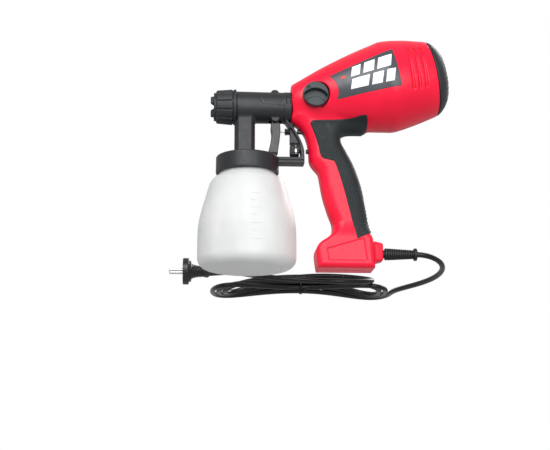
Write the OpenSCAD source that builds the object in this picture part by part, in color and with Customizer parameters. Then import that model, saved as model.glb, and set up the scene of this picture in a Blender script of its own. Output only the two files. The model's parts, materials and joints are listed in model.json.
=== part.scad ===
// Electric HVLP paint spray gun standing on its paint container and handle foot.
// X runs from the nozzle to the rear, -Y is the gun's left side, Z is up, Z = 0 is the table.
// The origin is on the table under the container's axis.

/* [Spray head] */
// Height of the barrel's axis above the table
barrel_z = 216; // [212:0.5:220]
// Barrel radius at its front end
barrel_r = 21; // [19:0.5:23]
// Outer radius of the ribbed cap nut
nut_r = 23.5; // [22.5:0.5:25]
// Height of the lid's lower rim above the table
lid_z = 125; // [120:1:128]
// Outer radius of the container lid
lid_r = 41; // [40:0.5:44]

/* [Paint container] */
// Outer radius of the container's widest part
cup_r = 63.5; // [58:0.5:66]
// Outer radius of the container's neck
neck_r = 36.3; // [35:0.1:37]
// Wall thickness of the container
cup_wall = 1.8; // [1.5:0.1:2.5]

/* [Motor housing] */
// Largest radius of the motor housing
housing_r = 58; // [56:0.5:60]
// Wall thickness of the half shells
shell_wall = 2.5; // [2:0.1:3]
// Rise of the motor's axis towards the rear, in degrees
axis_tilt = 11; // [10:0.5:12]

/* [Handle] */
// Half width of the handle
handle_half = 19; // [18:0.5:20]
// Half width of the foot
foot_half = 24; // [22:0.5:26]
// Height of the power cord's outlet above the table
cord_z = 21.5; // [20:0.5:23]

/* [Controls] */
// Radius of the speed dial
dial_r = 16.5; // [15:0.5:17]
// Radius of the flow knob
knob_r = 8.5; // [7:0.5:8.5]

/* [Power cord] */
// Radius of the power cord
cord_r = 3.4; // [3:0.1:3.4]
// Length of the plug's pins
pin_len = 19; // [19:0.1:19.1]
// Radius of the plug's pins
pin_r = 2.4; // [2.4:0.01:2.41]
// Spacing of the plug's pins
pin_gap = 19; // [18.9:0.1:19.1]

/* [Hidden] */
$fn = 72;

gap = 0.05;             // running clearance between moving parts
fit_gap = 0.02;         // clearance between parts that are fixed together
big = 400;              // larger than the whole gun

axis_x = 56;            // start of the motor's axis, at the housing's front face
axis_z = barrel_z + 6;
front_x = 57;           // the housing's front face
shell_end = 190;        // rear edge of the red shells along the motor's axis
spigot_r = 16.5;        // round plug of the head that turns in the housing
spigot_end = 66;
collar_r = 20.4;        // the barrel's radius at its rear end

motor_r = 34;
bearing_r = 9;
shaft_r = 4;
duct_r = 15;
dial_y = 34;            // distance of the dial's seat from the gun's middle plane
pocket_depth = 6;
button_z = 183.6;       // height of the trigger's rod and of the switch button
button_r = 3;
lock_z = 157;           // height of the head's lock button
knob_z = 157;           // height of the flow knob's axis
rod_r = 1.3;
grip_t = 1.5;           // thickness of the rubber on the handle's flank
screw_r = 1.6;
boss_r = 4;
lid_h = 23;
neck_top = lid_z + 14.4;
tube_x = -7.3;          // the suction tube's place, ahead of the container's axis
tube_r = 3.7;
elbow_z = 56;           // start of the suction tube's elbow
elbow_r = 12;
elbow_turn = 37;
tip_len = 27;
needle_r = 1.5;
horn_turn = 72;         // turn of the air cap's horns from upright
pivot_x = 36;           // trigger pivot
pivot_z = 198;
trigger_pin_r = 1.5;
boot_end = 219.3;       // end of the cord's strain relief
cord_sides = 8;
plug_x = -84;           // face of the plug's disc
plug_y = 122;
plug_z = 18.5;

// Radius of the motor housing at distance t along its axis
housing_profile = [
  [0, 20.5], [6, 24], [19, 28.5], [51, 40.5], [91, 52.5], [120, housing_r - 0.8],
  [131, housing_r], [157, housing_r - 3.5], [shell_end, housing_r - 9.5]
];

// Side outline of the handle from its front top corner, down the front and up the rear
handle_outline = [
  [60, 215], [56, 196], [65.5, 189.7], [72.8, 180.5], [77.2, 170], [79.6, 157], [80.3, 141.4],
  [83.8, 135.5], [90.9, 127.8], [93.4, 117.6], [96.6, 97.6], [103.4, 74.7], [109.3, 58],
  [109.8, 44], [156, 44], [152.4, 74.7], [148.5, 101.7], [143, 122], [136.6, 139.3],
  [127.6, 156.5], [118.3, 174.8], [125, 205], [95, 225]
];
foot_outline = [
  [90, 0], [87.3, 18.5], [88.2, 26.8], [94.6, 34], [105.3, 41.5], [109.8, 48.7], [120, 52],
  [157.1, 49.8], [160.3, 38.4], [162.6, 0]
];
// Rubber grip seen from the side, on the handle's flank
grip_outline = [
  [86.4, 175.7], [91.5, 160], [93.7, 148], [95.7, 143.6], [111.2, 139.2], [122, 109.2],
  [129.9, 78], [135.8, 54], [154, 54], [150, 74.7], [146, 101.7], [141, 121.5],
  [134.5, 138.5], [125.5, 155.7], [116, 175]
];
decal_outline = [
  [105, 243], [118, 238], [124, 228], [120, 218], [196, 236], [184, 282]
];

module along_x(x0, x1, r) {
  translate([x0, 0, 0]) rotate([0, 90, 0]) cylinder(h = x1 - x0, r = r);
}

module at_barrel() {
  translate([0, 0, barrel_z]) children();
}

// Children's Z runs along the motor's axis
module at_motor(t = 0) {
  translate([axis_x, 0, axis_z]) rotate([0, 90 - axis_tilt, 0]) translate([0, 0, t]) children();
}

module tube(r_out, r_in, h) {
  difference() {
    cylinder(h = h, r = r_out);
    translate([0, 0, -1]) cylinder(h = h + 2, r = r_in);
  }
}

// Prism with an XZ outline that spans y0 to y1
module side_prism(y0, y1) {
  translate([0, y1, 0]) rotate([90, 0, 0]) linear_extrude(y1 - y0) children();
}

module housing_revolve(inset, t0, t1) {
  points = [for (p = housing_profile) [p[1] - inset, p[0]]];
  at_motor() intersection() {
    rotate_extrude() polygon(concat([[0, 0]], points, [[0, shell_end]]));
    translate([0, 0, t0]) cylinder(h = t1 - t0, r = housing_r * 2);
  }
}

// ---------- shells ----------
screw_spots = [[98, 14], [140, 12], [104, 100], [98, 150], [200, 200], [185, 297]];

module outer_form() {
  difference() {
    union() {
      housing_revolve(0, 0, shell_end);
      side_prism(-handle_half, handle_half) polygon(handle_outline);
      side_prism(-foot_half, foot_half) polygon(foot_outline);
      translate([158, -11, cord_z - 14]) cube([19, 22, 30]);
    }
    translate([-big + front_x, -big / 2, 0]) cube([big, big, big]);
  }
}

module inner_form() {
  difference() {
    union() {
      housing_revolve(shell_wall, 3, shell_end + 1);
      side_prism(-handle_half + shell_wall, handle_half - shell_wall)
        offset(delta = -shell_wall) polygon(handle_outline);
      side_prism(-foot_half + shell_wall, foot_half - shell_wall)
        offset(delta = -shell_wall) polygon(foot_outline);
      translate([150, -8, cord_z - 8]) cube([24.5, 16, 16]);
    }
    translate([-big + front_x + shell_wall, -big / 2, 0]) cube([big, big, big]);
  }
}

module motor_rib(t) {
  at_motor(t) difference() {
    cylinder(h = 3, r = housing_r);
    translate([0, 0, -1]) cylinder(h = 5, r = motor_r + fit_gap);
  }
}

// Rod along Y, from -half to half
module y_rod(half, x, z, r) {
  translate([x, half, z]) rotate([90, 0, 0]) cylinder(h = 2 * half, r = r);
}

module x_rod(x0, x1, z, r) {
  translate([0, 0, z]) along_x(x0, x1, r);
}

module shell_cuts() {
  x_rod(front_x - 1, spigot_end + 1, barrel_z, spigot_r + gap);
  x_rod(60, 90, button_z, button_r + gap);
  x_rod(70, 90, lock_z, button_r + gap);
  x_rod(170, 180, cord_z, 5.5);
  // Pocket and shaft hole of the speed dial, on the left side
  at_dial() translate([0, 0, -pocket_depth]) cylinder(h = 40, r = dial_r + 0.6);
  at_dial() translate([0, 0, -20]) cylinder(h = 30, r = 3 + gap);
  for (p = screw_spots) translate([p[0], 0, p[1]]) rotate([90, 0, 0]) {
    translate([0, 0, -10]) cylinder(h = 20, r = screw_r + fit_gap);
    translate([0, 0, -big / 2]) cylinder(h = big / 2 - 4, r = screw_r * 2 + 0.2);
  }
}

module shell_body() {
  difference() {
    union() {
      difference() {
        outer_form();
        inner_form();
      }
      intersection() {
        outer_form();
        union() {
          motor_rib(100);
          motor_rib(140);
          for (p = screw_spots) translate([p[0], big / 4, p[1]])
            rotate([90, 0, 0]) cylinder(h = big / 2, r = boss_r);
          // Floor of the speed dial's pocket
          at_dial() translate([0, 0, -pocket_depth - shell_wall])
            cylinder(h = pocket_depth + shell_wall, r = dial_r + 3);
        }
      }
    }
    shell_cuts();
  }
}

module left_shell() {
  color("crimson") intersection() {
    shell_body();
    translate([0, -big / 2 - fit_gap, 0]) cube([big, big / 2, big]);
  }
}

module right_shell() {
  color("crimson") intersection() {
    shell_body();
    translate([0, fit_gap, 0]) cube([big, big / 2, big]);
  }
}

module housing_screws() {
  color("silver") for (p = screw_spots) translate([p[0], 0, p[1]]) rotate([90, 0, 0]) {
    translate([0, 0, -9]) cylinder(h = 16, r = screw_r);
    translate([0, 0, -9]) cylinder(h = 4.9, r = screw_r * 2);
  }
}

module grip(y0, y1) {
  color([0.08, 0.09, 0.1]) difference() {
    side_prism(y0, y1) polygon(grip_outline);
    housing_revolve(-0.3, 0, shell_end);
    for (p = screw_spots) translate([p[0], 0, p[1]]) rotate([90, 0, 0])
      cylinder(h = big, r = screw_r * 2 + 0.3, center = true);
  }
}

module left_grip() grip(-handle_half - grip_t, -handle_half - fit_gap);
module right_grip() grip(handle_half + fit_gap, handle_half + grip_t);

module decal(y0, y1) {
  color([0.15, 0.16, 0.18]) intersection() {
    difference() {
      housing_revolve(-0.4, 20, 150);
      housing_revolve(-fit_gap, 0, shell_end);
    }
    side_prism(y0, y1) polygon(decal_outline);
  }
}

module left_decal() decal(-big / 2, -5);
module right_decal() decal(5, big / 2);

// ---------- motor and blower, along the tilted axis ----------
module rear_cover() {
  color([0.12, 0.13, 0.14]) at_motor() difference() {
    rotate_extrude() polygon([
      [0, shell_end + 15.5], [0, shell_end + 18.5], [22, shell_end + 17.5], [36, shell_end + 13.5],
      [44, shell_end + 8], [housing_r - 9.5, shell_end + fit_gap * 4],
      [housing_r - 12, shell_end + fit_gap * 4], [housing_r - 12.1, shell_end - 7],
      [housing_r - 14, shell_end - 7], [housing_r - 14, shell_end + 3], [34, shell_end + 10.5]
    ]);
    for (a = [0 : 30 : 330]) rotate(a) translate([18, -1.5, shell_end]) cube([14, 3, 24]);
  }
}

module air_filter() {
  color([0.25, 0.25, 0.26]) at_motor(170) cylinder(h = 7, r = 42);
}

module motor_body() {
  color([0.45, 0.46, 0.48]) at_motor() difference() {
    union() {
      translate([0, 0, 96]) cylinder(h = 52, r = motor_r);
      translate([0, 0, 148]) cylinder(h = 8, r = 14);
    }
    translate([0, 0, 95]) cylinder(h = 70, r = 5);
    translate([0, 0, 95]) cylinder(h = 6, r = bearing_r + fit_gap);
    translate([0, 0, 151]) cylinder(h = 6, r = bearing_r + fit_gap);
  }
}

module bearing(t) {
  color([0.75, 0.76, 0.78]) at_motor(t) tube(bearing_r, shaft_r + gap, 5);
}

module front_bearing() bearing(96);
module rear_bearing() bearing(151);

module motor_shaft() {
  color("silver") at_motor(70) cylinder(h = 90, r = shaft_r);
}

module fan_impeller() {
  color([0.7, 0.71, 0.73]) at_motor(72) difference() {
    union() {
      cylinder(h = 14, r = 8);
      cylinder(h = 2, r = 33);
      for (a = [0 : 40 : 320]) rotate(a) translate([6, -0.8, 0]) cube([26, 1.6, 12]);
    }
    translate([0, 0, -1]) cylinder(h = 20, r = shaft_r + fit_gap / 2);
  }
}

module fan_housing() {
  color([0.2, 0.2, 0.22]) at_motor(66) difference() {
    cylinder(h = 26, r = 38);
    translate([0, 0, 2]) cylinder(h = 22, r = 35.5);
    translate([0, 0, 20]) cylinder(h = 10, r = 16);
    translate([0, 0, -1]) cylinder(h = 10, r = duct_r - 1.5);
  }
}

module air_duct() {
  color([0.2, 0.2, 0.22]) at_motor(20) tube(duct_r, duct_r - 1.5, 45.9);
}

module duct_seal() {
  color("black") x_rod_tube(spigot_end + 1.3, spigot_end + 3.3, 15.8, 12);
}

module x_rod_tube(x0, x1, r_out, r_in) {
  difference() {
    x_rod(x0, x1, barrel_z, r_out);
    x_rod(x0 - 1, x1 + 1, barrel_z, r_in);
  }
}

// ---------- controls in the housing ----------
module at_dial() {
  translate([87, -dial_y, barrel_z + 9]) rotate([90, 0, 0]) children();
}

module speed_dial() {
  color([0.1, 0.11, 0.12]) at_dial() difference() {
    union() {
      translate([0, 0, -pocket_depth + gap]) cylinder(h = pocket_depth + 3, r = dial_r);
      translate([0, 0, -13]) cylinder(h = 13, r = 3);
    }
    // Curved finger recess across the dial
    translate([0, 14, 1]) difference() {
      cylinder(h = 5, r = 19);
      translate([0, 0, -1]) cylinder(h = 7, r = 11.5);
    }
  }
}

module dial_regulator() {
  color([0.1, 0.3, 0.2]) at_dial() difference() {
    translate([-8, -8, -15]) cube([16, 16, 4.5]);
    translate([0, 0, -16]) cylinder(h = 10, r = 3 + gap);
  }
}

module switch_body() {
  color([0.15, 0.15, 0.16]) difference() {
    translate([84, -8, button_z - 16]) cube([26, 16, 24]);
    x_rod(80, 96, button_z, button_r + gap);
  }
}

module switch_button() {
  color("black") x_rod(65, 88, button_z, button_r);
}

module lock_button() {
  color("black") x_rod(76.5, 87, lock_z, button_r);
}

module control_board() {
  color([0.05, 0.35, 0.15]) {
    translate([114, -13, 60]) cube([26, 1.6, 40]);
    translate([118, -11.4, 66]) cube([16, 8, 22]);
  }
}

module cord_clamp() {
  color([0.2, 0.2, 0.22]) difference() {
    translate([152, -7.5, cord_z - 7.5]) cube([10, 15, 15]);
    x_rod(150, 164, cord_z, cord_r + fit_gap);
  }
}

// ---------- power cord ----------
module strain_relief() {
  color("black") difference() {
    union() {
      translate([177.1, 0, cord_z]) rotate([0, 90, 0]) cylinder(h = 41, r1 = 7.6, r2 = 5.2);
      for (i = [0 : 6]) x_rod(179 + i * 5, 181 + i * 5, cord_z, 7.7 - i * 0.25);
      x_rod(215, boot_end, cord_z, 8.2);
      x_rod(165, 178, cord_z, 5.4);
    }
    x_rod(160, boot_end + 1, cord_z, cord_r + fit_gap);
  }
}

function lerp(a, b, t) = a + (b - a) * t;
function bezier(p, t) = len(p) == 1 ? p[0]
  : bezier([for (i = [0 : len(p) - 2]) lerp(p[i], p[i + 1], t)], t);
function curve(p, n) = [for (i = [0 : n - 1]) bezier(p, i / n)];

// Bundle of laps, pinched at its waist by the tie; u counts laps
bundle_x = 85;
bundle_y = 200;
laps = 2.75;
function bundle_point(u) = let (a = 360 * u, len_x = 132 - 9 * u, width = 128 - 22 * u) [
  bundle_x + len_x * cos(a),
  bundle_y + sin(a) * (3.7 + width * pow(cos(a), 2)),
  cord_r + 0.2 + (2 * cord_r + 0.6) * u * pow(sin(a), 2)
];
lead_curve = [
  [boot_end + 1, 0, cord_z], [boot_end + 35, 0, cord_z], [boot_end + 62, 30, 3.5],
  [boot_end + 50, 110, 3.4], [217, 140, 3.4], [217, bundle_y, 3.4]
];
tail_start = bundle_point(laps);
tail_curve = [
  tail_start, tail_start + [55, 0, 6], [205, bundle_y - 5, 24], [215, bundle_y - 60, 3.6],
  [205, 96, 3.6], [110, 110, 3.6], [30, plug_y, 3.6], [plug_x + 85, plug_y, plug_z],
  [plug_x + 60, plug_y, plug_z]
];
cord_path = concat(
  [[152.5, 0, cord_z]], curve(lead_curve, 30), [for (i = [0 : 109]) bundle_point(i * laps / 110)],
  curve(tail_curve, 36), [[plug_x + 60, plug_y, plug_z], [plug_x + 40, plug_y, plug_z]]
);

function unit(v) = v / norm(v);
function ring_points(path, i, r, n) = let (
    ahead = path[min(i + 1, len(path) - 1)],
    back = path[max(i - 1, 0)],
    along = unit(ahead - back),
    side = unit(cross([0, 0, 1], along)),
    up = cross(along, side)
  ) [for (k = [0 : n - 1]) path[i] + r * (cos(360 * k / n) * side + sin(360 * k / n) * up)];

module sweep_tube(path, r, n) {
  last = (len(path) - 1) * n;
  points = [for (i = [0 : len(path) - 1]) each ring_points(path, i, r, n)];
  sides = [for (i = [0 : len(path) - 2]) for (k = [0 : n - 1])
    [i * n + k, (i + 1) * n + k, (i + 1) * n + (k + 1) % n, i * n + (k + 1) % n]];
  front = [for (k = [0 : n - 1]) k];
  back = [for (k = [n - 1 : -1 : 0]) last + k];
  polyhedron(points, concat(sides, [front, back]));
}

module power_cord() {
  color("black") sweep_tube(cord_path, cord_r, cord_sides);
}

module cord_tie() {
  color([0.15, 0.15, 0.16]) translate([bundle_x, bundle_y, 12.5]) rotate([90, 0, 90])
    difference() {
      translate([-8.7, -12.3, -1.2]) cube([17.4, 29.2, 2.4]);
      translate([-7.5, -11.1, -2]) cube([15, 26.8, 4]);
    }
}

module plug_body() {
  color("black") translate([plug_x, plug_y, plug_z]) rotate([0, 90, 0]) difference() {
    union() {
      cylinder(h = 9, r = 18.4);
      translate([0, 0, 9]) cylinder(h = 24, r1 = 12, r2 = 9);
      translate([0, 0, 33]) cylinder(h = 3, r = 10);
      translate([0, 0, 36]) cylinder(h = 20, r1 = 6.5, r2 = 4.6);
    }
    translate([0, 0, 39.9]) cylinder(h = 20, r = cord_r + fit_gap);
    for (s = [-1, 1]) translate([0, s * pin_gap / 2, -1]) cylinder(h = 8, r = pin_r + fit_gap);
  }
}

module plug_pins() {
  color("silver") for (s = [-1, 1]) translate([plug_x, plug_y + s * pin_gap / 2, plug_z])
    rotate([0, 90, 0]) {
      translate([0, 0, -pin_len]) cylinder(h = pin_len, r = pin_r);
      cylinder(h = 6, r = pin_r - 0.4);
    }
}

// ---------- spray head ----------
// Front of the guard flange, which follows the front of the handle
flange_outline = [
  [39, 147.5], [39, 137.5], [74, 137.5], [74, 149], [73, 160], [68.6, 172], [62, 184],
  [54.2, 194], [51, 201], [48, 201], [52.5, 192], [59.5, 182], [66, 171], [70, 159],
  [71, 147.5]
];

module head_body() {
  color([0.17, 0.18, 0.2]) difference() {
    union() {
      translate([-14.7, 0, barrel_z]) rotate([0, 90, 0])
        cylinder(h = front_x - gap + 14.7, r1 = barrel_r, r2 = collar_r);
      x_rod(-22, -14, barrel_z, 19);
      x_rod(front_x - 1, spigot_end, barrel_z, spigot_r);
      x_rod(29.7, 41.6, barrel_z + 4, 20.5);
      translate([-17, -13, lid_z + 20]) cube([26, 26, barrel_z - lid_z - 30]);
      translate([0, 0, lid_z]) cylinder(h = lid_h, r = lid_r);
      side_prism(-9.4, 9.4) polygon(flange_outline);
    }
    // Air passage along the barrel
    x_rod(8, spigot_end + 1, barrel_z, 14);
    x_rod(-23, 9, barrel_z, needle_r * 2);
    x_rod(-23, -12, barrel_z, 12);
    translate([0, 0, lid_z - 1]) cylinder(h = lid_h - 5, r = neck_r + gap);
    // Fluid passage from the suction tube up to the nozzle
    translate([tube_x, 0, lid_z + 10]) cylinder(h = barrel_z - lid_z - 9, r = 3.2);
    translate([10, 0, lid_z + 10]) cylinder(h = 20, r = 2.5);
    // Openings for the trigger, its rod and its pin
    translate([28, -6.3, barrel_z - 23]) cube([16, 12.6, 8.8]);
    y_rod(12, pivot_x, pivot_z, trigger_pin_r + fit_gap);
    x_rod(45, 75, button_z, rod_r + gap);
    x_rod(60, 80, knob_z, 2.5 + gap);
  }
  // Hub of the suction tube under the lid
  color([0.3, 0.31, 0.33]) translate([tube_x, 0, lid_z + 1]) tube(10, 3.75, lid_h - 7);
}

module trigger_pin() {
  color("silver") y_rod(8.4, pivot_x, pivot_z, trigger_pin_r);
}

module trigger() {
  color([0.28, 0.29, 0.31]) difference() {
    union() {
      side_prism(-9, 9) polygon([
        [31, 194], [41, 194], [42.6, 184], [41, 172], [38, 162], [36.5, 153],
        [25, 152], [29, 162], [31, 172], [32, 184]
      ]);
      side_prism(-6, 6) polygon([[31, 190], [41, 190], [40, 200.5], [31, 200.5]]);
    }
    y_rod(12, pivot_x, pivot_z, trigger_pin_r + gap);
  }
}

module push_rod() {
  color("silver") x_rod(43.4, 63.9, button_z, rod_r);
}

module rod_boot() {
  color("black") difference() {
    for (i = [0 : 3]) x_rod(48 + i * 2.4, 50.4 + i * 2.4, button_z, i % 2 == 0 ? 5 : 4);
    x_rod(45, 60, button_z, rod_r + gap);
    side_prism(-12, 12) offset(delta = fit_gap) polygon(flange_outline);
  }
}

module flow_knob() {
  color([0.14, 0.15, 0.16]) difference() {
    union() {
      x_rod(55.5, 61.8, knob_z, knob_r);
      x_rod(61.7, 64.2, knob_z, 6.5);
      x_rod(64.1, 67.2, knob_z, knob_r - 0.3);
      x_rod(67.1, 74.4, knob_z, 2.5);
    }
    for (a = [0 : 30 : 330]) translate([0, 0, knob_z]) rotate([a, 0, 0])
      translate([56.5, 0, knob_r]) rotate([0, 90, 0]) cylinder(h = 12, r = 0.6);
  }
}

module knob_ring() {
  color("silver") difference() {
    x_rod(61.85, 64.05, knob_z, 7.4);
    x_rod(61, 65, knob_z, 6.5 + fit_gap);
  }
}

module needle() {
  color("silver") {
    x_rod(-36, 26, barrel_z, needle_r);
    translate([-44, 0, barrel_z]) rotate([0, 90, 0]) cylinder(h = 8, r1 = 0.5, r2 = needle_r);
    x_rod(24, 26, barrel_z, 5);
  }
}

module needle_spring() {
  color([0.6, 0.61, 0.63]) difference() {
    x_rod(26.1, 50, barrel_z, 5);
    x_rod(26, 51, barrel_z, 3.8);
  }
}

module needle_packing() {
  color("white") difference() {
    x_rod(-12 + fit_gap, -12 + 0.5, barrel_z, needle_r * 2 - fit_gap);
    x_rod(-13, -11, barrel_z, needle_r + gap);
  }
}

module fluid_nozzle() {
  color([0.75, 0.76, 0.78]) difference() {
    union() {
      x_rod(-24, -12 - fit_gap, barrel_z, 12 - fit_gap);
      translate([-43, 0, barrel_z]) rotate([0, 90, 0]) cylinder(h = 20, r1 = 4.5, r2 = 10);
    }
    x_rod(-45, -11, barrel_z, needle_r + gap);
    x_rod(-30, -11, barrel_z, 4);
  }
}

module air_cap() {
  color([0.1, 0.11, 0.12]) difference() {
    union() {
      x_rod(-44.5, -31, barrel_z, nut_r - 5);
      for (a = [horn_turn, horn_turn + 180]) translate([0, 0, barrel_z]) rotate([a, 0, 0])
        translate([-48, -5, 9]) cube([8, 10, 8]);
    }
    translate([-44.6, 0, barrel_z]) rotate([0, 90, 0]) cylinder(h = 15, r1 = 5, r2 = 15);
    x_rod(-46, -40, barrel_z, 6);
  }
}

module cap_nut() {
  color([0.12, 0.13, 0.14]) difference() {
    union() {
      translate([-41.6, 0, barrel_z]) rotate([0, 90, 0]) cylinder(h = 24.3, r1 = nut_r - 1.5, r2 = nut_r - 1);
      for (a = [0 : 30 : 330]) translate([0, 0, barrel_z]) rotate([a, 0, 0])
        translate([-40, -3.5, nut_r - 3]) cube([21, 7, 3]);
      x_rod(-17.4, -14.8, barrel_z, nut_r - 2.5);
    }
    x_rod(-42, -30.9, barrel_z, nut_r - 5 + gap);
    x_rod(-31, -14, barrel_z, 19 + gap);
    x_rod(-17, -14, barrel_z, barrel_r + gap);
  }
}

module pressure_valve() {
  color([0.7, 0.1, 0.1]) translate([10, 0, lid_z + lid_h - 8.1]) cylinder(h = 2, r = 5);
}

// ---------- paint container ----------
// Section of the tube's wall, thicker by extra on both sides
module tube_section(extra = 0) {
  difference() {
    circle(r = tube_r + extra);
    circle(r = tube_r - 1.2 - extra);
  }
}

// Hangs from the lid's hub: a straight length, an elbow and a straight open tip
module suction_tube() {
  color([0.12, 0.13, 0.14]) {
    translate([tube_x, 0, elbow_z]) linear_extrude(lid_z + 15 - elbow_z) tube_section();
    translate([tube_x - elbow_r, 0, elbow_z]) rotate([-90, 0, 0]) {
      rotate_extrude(angle = elbow_turn) translate([elbow_r, 0]) tube_section(0.4);
      rotate(elbow_turn) translate([elbow_r, 0, 0]) rotate([-90, 0, 0])
        linear_extrude(tip_len) tube_section();
    }
  }
}

module container_seal() {
  color([0.85, 0.85, 0.82]) translate([0, 0, neck_top + fit_gap]) tube(neck_r - 0.3, neck_r - 5, 2.4);
}

module container() {
  outer = [
    [0, 0], [cup_r - 14, 0], for (a = [15 : 15 : 90]) [cup_r - 14 + 14 * sin(a), 14 - 14 * cos(a)],
    [cup_r, 56], [neck_r + 12, 112], [neck_r + 6, 119], [neck_r, 123], [neck_r, neck_top]
  ];
  inner = [
    [0, cup_wall], [cup_r - 14, cup_wall],
    for (a = [15 : 15 : 90]) [cup_r - 14 + (14 - cup_wall) * sin(a), 14 - (14 - cup_wall) * cos(a)],
    [cup_r - cup_wall, 56], [neck_r + 12 - cup_wall, 111.3], [neck_r + 6 - cup_wall, 117.7],
    [neck_r - cup_wall, 121.6], [neck_r - cup_wall, neck_top + 1], [0, neck_top + 1]
  ];
  color([0.9, 0.91, 0.9, 0.6]) difference() {
    rotate_extrude() polygon(concat(outer, [[0, neck_top]]));
    rotate_extrude() polygon(inner);
  }
}

left_shell();
right_shell();
left_grip();
right_grip();
left_decal();
right_decal();
rear_cover();
air_filter();
motor_body();
front_bearing();
rear_bearing();
motor_shaft();
fan_impeller();
fan_housing();
air_duct();
duct_seal();
speed_dial();
dial_regulator();
switch_body();
switch_button();
control_board();
lock_button();
housing_screws();
cord_clamp();
strain_relief();
power_cord();
cord_tie();
plug_body();
plug_pins();
head_body();
trigger();
trigger_pin();
push_rod();
rod_boot();
flow_knob();
knob_ring();
needle();
needle_spring();
needle_packing();
fluid_nozzle();
air_cap();
cap_nut();
pressure_valve();
suction_tube();
container_seal();
container();
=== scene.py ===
import json
import math

import bmesh
import bpy
import numpy as np
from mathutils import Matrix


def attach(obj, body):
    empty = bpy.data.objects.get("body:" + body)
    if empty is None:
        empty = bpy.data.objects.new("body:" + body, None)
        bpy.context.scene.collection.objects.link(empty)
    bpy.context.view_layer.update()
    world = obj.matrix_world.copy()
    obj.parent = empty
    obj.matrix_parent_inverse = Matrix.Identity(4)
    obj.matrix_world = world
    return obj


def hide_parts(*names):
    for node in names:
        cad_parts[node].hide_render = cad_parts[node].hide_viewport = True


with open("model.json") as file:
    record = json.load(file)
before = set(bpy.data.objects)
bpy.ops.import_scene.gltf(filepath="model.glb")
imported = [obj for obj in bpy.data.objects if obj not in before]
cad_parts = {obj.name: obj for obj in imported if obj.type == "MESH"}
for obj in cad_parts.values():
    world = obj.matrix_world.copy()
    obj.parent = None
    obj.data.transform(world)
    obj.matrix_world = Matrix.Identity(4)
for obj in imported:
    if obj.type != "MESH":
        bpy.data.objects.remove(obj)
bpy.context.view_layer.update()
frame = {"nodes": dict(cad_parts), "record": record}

import openvdb
from mathutils import Vector

# Lengths are in millimetres in the CAD's frame and become metres in new_object().
MM = 0.001
BARREL_Z = 216.0
AXIS_TILT = math.radians(11)
AXIS_X, AXIS_Z = 56.0, BARREL_Z + 6
FRONT_X = 57.0
SHELL_END = 190.0               # rear edge of the red shells along the motor's axis
SHELL_WALL = 3.3
COVER_SEAT = 11.5               # depth of the hollow that takes the rear cover's skirt
SEAM = 0.16                     # half width of the gap between the two shells
LID_Z, LID_R, LID_H = 125.0, 41.0, 23.0
NECK_R, CUP_WALL, NECK_TOP = 36.3, 1.8, 139.4
CORD_Z, CORD_R, BOOT_END = 21.5, 3.6, 219.3
PLUG = (-84.0, 122.0, 18.5)
DIAL = (87.0, 225.0)            # x and z of the speed dial's axis
DIAL_R, DIAL_SEAT = 16.5, 34.0
KNOB_Z, BUTTON_Z, LOCK_Z = 157.0, 183.6, 157.0
PIVOT_X, PIVOT_Z, PIN_BORE = 36.0, 198.0, 1.6
HORN_TURN = math.radians(72)    # turn of the air cap's horns from upright


# ---------------------------------------------------------------- curves and distances
def spline(points, step=6):
    """Catmull-Rom curve through the points, with step samples a span."""
    p = np.array(points, float)
    last = len(p) - 1
    out = []
    for i in range(last):
        a, b, c, d = p[max(i - 1, 0)], p[i], p[i + 1], p[min(i + 2, last)]
        for k in range(step):
            t = k / step
            out.append(0.5 * (2 * b + (c - a) * t + (2 * a - 5 * b + 4 * c - d) * t * t
                              + (3 * b - a - 3 * c + d) * t ** 3))
    out.append(p[-1])
    return np.array(out)


def outline_distance(points, u, v):
    """Signed distance to a closed outline in the plane, negative inside."""
    shape = np.broadcast(u, v).shape
    nearest = np.full(shape, 1e9)
    inside = np.zeros(shape, bool)
    last = points[-1]
    for p in points:
        e, w0, w1 = p - last, u - last[0], v - last[1]
        t = np.clip((w0 * e[0] + w1 * e[1]) / max(e @ e, 1e-12), 0, 1)
        nearest = np.minimum(nearest, (w0 - e[0] * t) ** 2 + (w1 - e[1] * t) ** 2)
        if p[1] != last[1]:
            crosses = (last[1] > v) != (p[1] > v)
            inside ^= crosses & (u < (p[0] - last[0]) * (v - last[1]) / (p[1] - last[1]) + last[0])
        last = p
    nearest = np.sqrt(nearest)
    return np.where(inside, -nearest, nearest)


def line_distance(points, u, v):
    """Distance to an open line in the plane."""
    nearest = 1e9
    for p, q in zip(points, points[1:]):
        e, w0, w1 = q - p, u - p[0], v - p[1]
        t = np.clip((w0 * e[0] + w1 * e[1]) / (e @ e), 0, 1)
        nearest = np.minimum(nearest, np.hypot(w0 - e[0] * t, w1 - e[1] * t))
    return nearest


def smooth_min(a, b, k):
    h = np.maximum(k - np.abs(a - b), 0) / k
    return np.minimum(a, b) - h * h * k * 0.25


def smooth_max(a, b, k):
    return -smooth_min(-a, -b, k)


def rounded_slab(flat, across, r):
    """A prism of an outline: flat is the outline's distance, across the distance past its faces."""
    a, b = flat + r, across + r
    return np.minimum(np.maximum(a, b), 0) + np.hypot(np.maximum(a, 0), np.maximum(b, 0)) - r


def box_distance(x, y, z, lo, hi, r=0.0):
    c = [(a + b) / 2 for a, b in zip(lo, hi)]
    h = [(b - a) / 2 - r for a, b in zip(lo, hi)]
    q = [np.abs(p - m) - s for p, m, s in zip((x, y, z), c, h)]
    out = np.sqrt(sum(np.maximum(a, 0) ** 2 for a in q))
    return out + np.minimum(np.maximum(np.maximum(q[0], q[1]), q[2]), 0) - r


def rod_distance(x, y, z, x0, x1, cy, cz, r, edge=0.0):
    """A cylinder along X with rounded ends."""
    return rounded_slab(np.hypot(y - cy, z - cz) - r, np.abs(x - (x0 + x1) / 2) - (x1 - x0) / 2, edge)


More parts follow.
